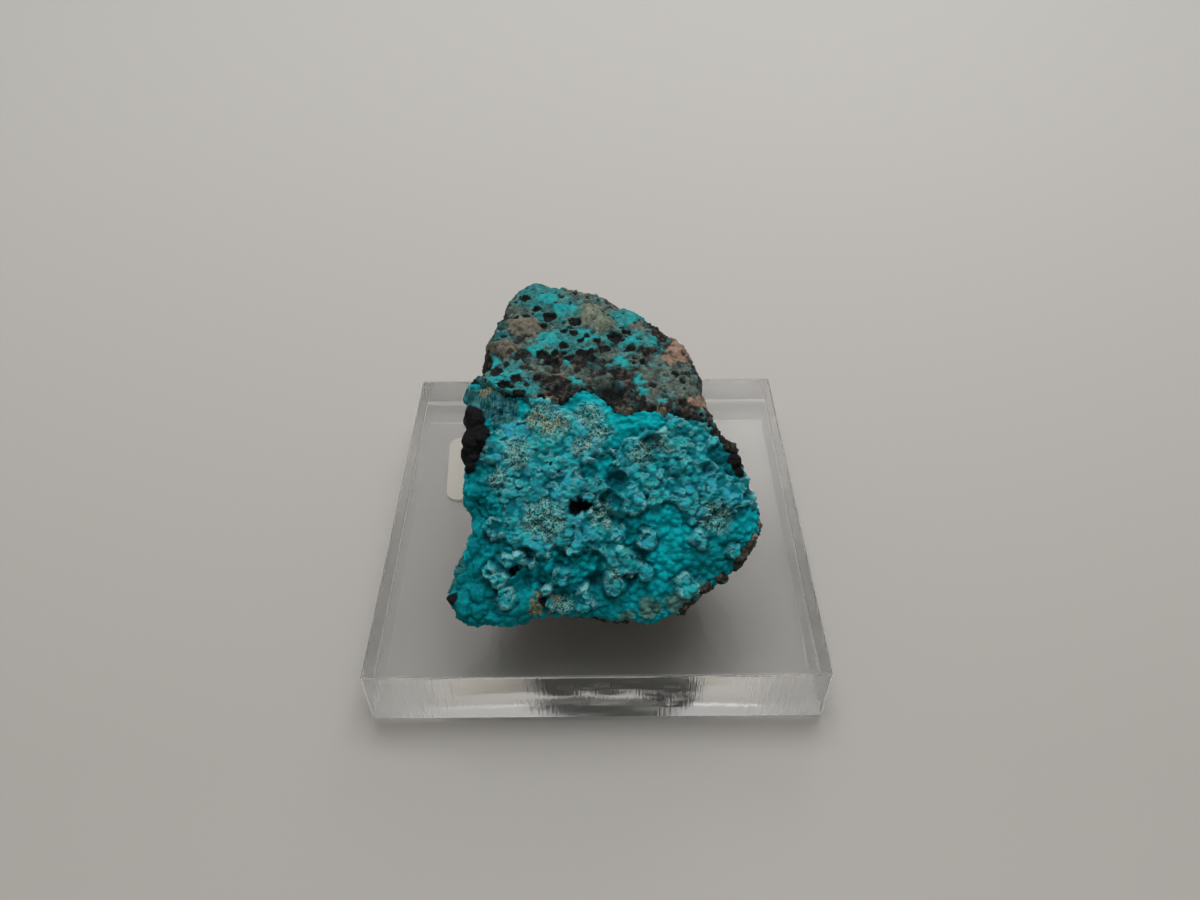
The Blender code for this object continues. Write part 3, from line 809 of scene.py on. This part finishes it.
# Pinched corners and loose scraps go, so that one patch is left.
patch_mesh = bmesh.new()
patch_mesh.from_mesh(crust.data)
pinched = [True]
while pinched:
    pinched = [v for v in patch_mesh.verts if sum(e.is_boundary for e in v.link_edges) > 2]
    bmesh.ops.delete(patch_mesh, geom=pinched, context="VERTS")
loose = set(patch_mesh.verts)
biggest = []
while loose:
    group = {loose.pop()}
    queue = list(group)
    while queue:
        for edge in queue.pop().link_edges:
            for vertex in edge.verts:
                if vertex in loose:
                    loose.remove(vertex)
                    group.add(vertex)
                    queue.append(vertex)
    biggest = max(biggest, group, key=len)
bmesh.ops.delete(patch_mesh, geom=[v for v in patch_mesh.verts if v not in biggest],
                 context="VERTS")
patch_mesh.to_mesh(crust.data)
patch_mesh.free()
finer = crust.modifiers.new("finer", "SUBSURF")
finer.levels = finer.render_levels = CRUST_LEVELS
finer.boundary_smooth = "ALL"
bpy.ops.object.modifier_apply(modifier="finer")
places, normals = read_mesh(crust.data)
across, up = on_face(places)
warp = np.stack([soft_noise(places, 0.9, seed) for seed in (91, 92, 93)], 1)
swirl_a, swirl_b, swirl_c = warp.T

# Small knobs cover the clean crust, with larger domes on the left edge. Worn patches have
# nodules instead, of which some are broken open into cups, with tiny knobs between them.
knob, _ = knobs(places + 0.15 * warp, 0.64, 0.32, 0.52, 101)
tiny, _ = knobs(places + 0.05 * warp, 0.42, 0.18, 0.31, 105)
dome, _ = knobs(places + 0.35 * warp, 1.5, 0.70, 1.10, 131)
nodule, nodule_centre = knobs(places + 0.25 * warp, NODULE_CELL, 0.36, 0.60, 103)
dome_rim = np.exp(-((nodule - 0.13) / 0.06) ** 2)
dome_rim *= ramp(soft_noise(places, 0.8, 127), -0.1, 0.25)
from_centre = places + 0.25 * warp - nodule_centre
off_axis = (from_centre ** 2).sum(axis=1) - (from_centre * normals).sum(axis=1) ** 2
off_axis = np.sqrt(np.maximum(off_axis, 0))
broken = cell_random(np.floor(nodule_centre / NODULE_CELL), 119) > 0.72
cup_rim = broken * np.exp(-((off_axis - CUP_RADIUS) / 0.08) ** 2)
cup_rim *= ramp(soft_noise(places, 0.5, 121), -0.25, 0.2)
cup_floor = broken * ramp(CUP_RADIUS - off_axis, 0.0, 0.15)

# The worn patches and islands stand higher. Their edge has a lip and a pale frill, and under
# it a shallow groove with a band of painted shadow.
inside = inside_raised(0.5 * nodule_centre + 0.5 * places)
raised = ramp(inside, -0.14, 0.20)
under = np.exp(-((inside + 0.30) / 0.20) ** 2)
lip = np.exp(-((inside - 0.12) / 0.16) ** 2) * ramp(soft_noise(places, 1.6, 115), -0.2, 0.2)
frill_line = np.exp(-((inside - 0.06) / 0.10) ** 2)
frill_line *= ramp(soft_noise(places, 1.0, 115), -0.30, 0.15)
worn = ramp(inside_raised(places), -0.8, 0.7)
island = ramp(inside_island(places), -0.15, 0.2)
large = ramp(reach(across, up, LARGE_DOMES) + 0.5 * swirl_c, -0.8, 0.8) * (1 - worn)
crinkle = np.abs(rough_noise(places, 0.55, 2, 109))

# Hollows between the patches, whose knobs are painted darker as shade, one deep cavity,
# painted near black as shade, black lumps and specks, and odd corners.
pocket_with_painted_shade = reach(across, up, POCKETS) + 0.5 * swirl_a + 0.4 * rough_noise(places, 1.2, 2, 141)
pocket_with_painted_shade = ramp(pocket_with_painted_shade, -0.3, 0.8) * (1 - island)
cavity = reach(across, up, CAVITY) + 0.4 * swirl_b + 0.45 * rough_noise(places, 0.8, 2, 133)
cavity = ramp(cavity, -0.10, 0.22)
black_lump = reach(across, up, BLACK_LUMPS)
smooth_lump = ramp(black_lump, -0.3, 0.3)
speck = reach(across, up, BLACK_SPECKS) + 0.5 * rough_noise(places, 0.6, 2, 123) - 0.08
# Near black: on the black lumps and specks, and in the cavity, where it is painted shade.
blackness_and_painted_shade = np.maximum(ramp(black_lump + 0.3 * swirl_a, -0.15, 0.15), cavity)
blackness_and_painted_shade = np.maximum(blackness_and_painted_shade, ramp(speck, -0.08, 0.12))
brown = reach(across, up, BROWN_DRUSE) + 1.1 * rough_noise(places, 1.0, 3, 125)
striped = reach(across, up, STRIPED_CORNER) + 1.0 * rough_noise(places, 1.6, 3, 135)
striped = ramp(striped, -0.6, 0.7)

# The crust's relief, in millimetres, is made of all these. It sinks into the rock at its border.
depth = crust_depth(places, normals)
height = 0.45 * rough_noise(places, 5.0, 2, 111) + 0.42 * soft_noise(places, 2.2, 117)
height += (1.05 * knob * (1 - 0.7 * worn) * (1 - 0.5 * striped) * (1 - 0.6 * large)
           * (1 - 0.8 * smooth_lump))
height += 0.85 * dome * large - 0.22 * under * (1 - worn * raised)
height += nodule * (0.10 + 0.45 * worn) + tiny * (0.12 + 0.34 * worn)
height += 0.40 * raised + 0.36 * island + 0.30 * lip + 1.1 * ramp(black_lump, -0.6, 0.9)
height += (0.24 * crinkle + 0.16 * cup_rim - 0.14 * cup_floor) * worn
height -= 1.0 * pocket_with_painted_shade + 1.5 * cavity + 0.92
height -= 1.6 * ramp(-depth, -0.2, 0.8)
write_places(crust.data, places + normals * height[:, None])
pale_rims = np.maximum(0.65 * dome_rim, 0.70 * cup_rim) * worn
round_top = (1 - 0.65 * large) * np.clip(knob / 0.40, 0, 1)
round_top = round_top + 0.65 * large * ramp(dome, 0.05, 0.6)
layers = {
    "worn": worn, "frill": np.maximum(frill_line, pale_rims),
    "under": 0.6 * under * (1 - raised), "pocket_with_painted_shade": pocket_with_painted_shade, "knob": round_top,
    "nodule": ramp(nodule + 0.5 * tiny, 0.0, 0.36),
    "druse": ramp(reach(across, up, SANDY_DRUSE) + 0.6 * swirl_c, -0.5, 0.5),
    "blackness_and_painted_shade": blackness_and_painted_shade, "brown": ramp(brown, -0.3, 0.3), "striped": striped,
    "vivid_and_painted_light": ramp(reach(across, up, VIVID_AND_PAINTED_LIGHT) + 0.4 * swirl_c, -0.6, 0.6),
    "shaded": ramp(reach(across, up, SHADED) + 0.4 * swirl_b, -1.0, 0.8),
    "dull": ramp(reach(across, up, DULL_EDGE) + 0.5 * swirl_a, -0.6, 0.6),
    "dark_teal": ramp(reach(across, up, DARK_TEAL) + 0.4 * swirl_b, -0.4, 0.6)}
paint(crust.data, layers)

# The patch's open border is drawn together at one point deep in the rock, which closes it.
back_mesh = bmesh.new()
back_mesh.from_mesh(crust.data)
rims = [rim for rim in back_mesh.edges if rim.is_boundary]
hub = back_mesh.verts.new(CRUST_HEART)
for rim in rims:
    face = rim.link_faces[0]
    loop = next(loop for loop in face.loops if loop.edge == rim)
    back_mesh.faces.new((loop.link_loop_next.vert, loop.vert, hub))
back_mesh.to_mesh(crust.data)
back_mesh.free()
bpy.ops.object.shade_smooth()

# Chrysocolla grown as tiny knobs looks like velvet, with no shine: brighter teal on the
# knobs, and in the creases a deeper teal that is painted shade. Worn patches are paler and
# carry a lace of thin pale threads, with painted shade in the gaps between them.
material, tree, output = new_material("chrysocolla, grown as knobs")
coordinates = add_node(tree, "ShaderNodeTexCoord")
spot = coordinates.outputs["Object"]
grit = add_node(tree, "ShaderNodeTexNoise", {"Scale": 1 / CRUST_GRIT, "Detail": 4.0,
                                             "Roughness": 0.65}, {"Vector": spot})
patchy = add_node(tree, "ShaderNodeTexNoise", {"Scale": 1 / (0.9 * MM), "Detail": 4.0,
                                               "Roughness": 0.65}, {"Vector": spot})
cloud = add_node(tree, "ShaderNodeTexNoise", {"Scale": 1 / (2.5 * MM), "Detail": 3.0},
                 {"Vector": spot})
wide = cloud.outputs["Fac"]
fine, mottle, wide_edge = (
    add_node(tree, "ShaderNodeMapRange", {"From Min": low, "From Max": high},
             {"Value": pattern.outputs["Fac"]}).outputs["Result"]
    for pattern, low, high in ((grit, 0.38, 0.62), (patchy, 0.38, 0.62), (cloud, 0.42, 0.58)))
half_fine = add_node(tree, "ShaderNodeMath", {"operation": "MULTIPLY_ADD", 1: 0.6, 2: 0.4},
                     {0: fine}).outputs["Value"]
# The streaks of the upper left corner are 0.34 mm thick and lean a little.
streaks = add_node(tree, "ShaderNodeMapping", {"Scale": (1.0, 0.16, 0.16),
                                               "Rotation": (0.0, 0.35, 0.0)}, {"Vector": spot})
streaks = add_node(tree, "ShaderNodeTexNoise",
                   {"Scale": 1 / (0.34 * MM), "Detail": 5.0, "Distortion": 1.4},
                   {"Vector": streaks.outputs["Vector"]})
streaks = add_node(tree, "ShaderNodeMapRange", {"From Min": 0.38, "From Max": 0.70},
                   {"Value": streaks.outputs["Fac"]}).outputs["Result"]
# The druse's threads are the lines where a noise passes its middle value. They come out about
# 0.1 mm wide, as fine as the picture can show.
lace = add_node(tree, "ShaderNodeTexNoise", {"Scale": 1 / (0.4 * MM), "Detail": 2.0,
                                             "Roughness": 0.6}, {"Vector": spot})
lace = add_node(tree, "ShaderNodeMath", {"operation": "SUBTRACT", 1: 0.5},
                {0: lace.outputs["Fac"]})
lace = add_node(tree, "ShaderNodeMath", {"operation": "ABSOLUTE"}, {0: lace.outputs["Value"]})
threads, druse_gap_shade = (
    add_node(tree, "ShaderNodeMapRange", {"From Min": low, "From Max": high},
             {"Value": lace.outputs["Value"]}).outputs["Result"]
    for low, high in ((0.055, 0.015), (0.08, 0.14)))

laid = read_paint(tree, layers)
on_worn, on_dull, on_dark, on_striped, on_brown, on_blackness_and_painted_shade = (
    broken_edge(tree, laid[name], pattern, spread)
    for name, pattern, spread in (("worn", fine, 0.6), ("dull", fine, 0.5),
                                  ("dark_teal", wide, 0.6), ("striped", mottle, 0.5),
                                  ("brown", mottle, 0.6), ("blackness_and_painted_shade", fine, 0.3)))
# Knob tops are the brighter teal. The creases, and the low places between worn nodules, are painted
# darker as shade.
knob_top = (wide, "00B0BE", "00A2AC")
# Brighter teal in the vivid spots, painted light by the ridge; darker teal painted as shade in the
# shaded spots and the pockets.
for name, shade in (("vivid_and_painted_light", "00B8C2"), ("shaded", "00727A"), ("pocket_with_painted_shade", "00808A")):
    knob_top = (laid[name], knob_top, shade)
crease_painted_shade = (laid["pocket_with_painted_shade"], (laid["vivid_and_painted_light"], "006C76", "008A94"), "004650")
clean_teal = ((fine, mottle), (laid["knob"], crease_painted_shade, knob_top), "0A9CA2")
worn_teal = (laid["nodule"], "046A74",
             (mottle, (wide_edge, "089A98", "2696B0"), (fine, "12A4AE", "4AB2B8")))
colour = (on_worn, clean_teal, worn_teal)
for amount, over in (
        (on_dull, (mottle, "2F5A56", "5E8A80")),
        ((laid["frill"], half_fine), "92CAC9"),
        # Under the raised edges: painted shadow.
        (laid["under"], "044852"),
        (on_dark, (fine, "04505A", "0A7680")),
        (on_striped, (streaks, (mottle, "0B303C", "17585A"), (mottle, "22707C", "5E989A"))),
        (on_brown, (fine, "34463F", "8E9276")),
        # Painted shade in the druse's gaps between the threads.
        ((laid["druse"], druse_gap_shade), "18585A"),
        ((laid["druse"], threads), (mottle, "78AAA4", "A8B8A2")),
        # Near black on the black lumps and specks, and painted shade in the cavity.
        (on_blackness_and_painted_shade, (fine, "0B0C0D", "1D1E20"))):
    colour = (amount, colour, over)
bump = add_node(tree, "ShaderNodeBump", {"Strength": 0.5, "Distance": 0.08 * MM},
                {"Height": grit.outputs["Fac"]})
shader = add_node(tree, "ShaderNodeBsdfPrincipled",
                  {"Roughness": 0.7, "Specular IOR Level": 0.06},
                  {"Base Color": lay_colours(tree, colour), "Normal": bump.outputs["Normal"]})
finish_material(tree, output, shader)
crust.data.materials.append(material)
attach(crust, "root")
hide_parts("chrysocolla_specimen")
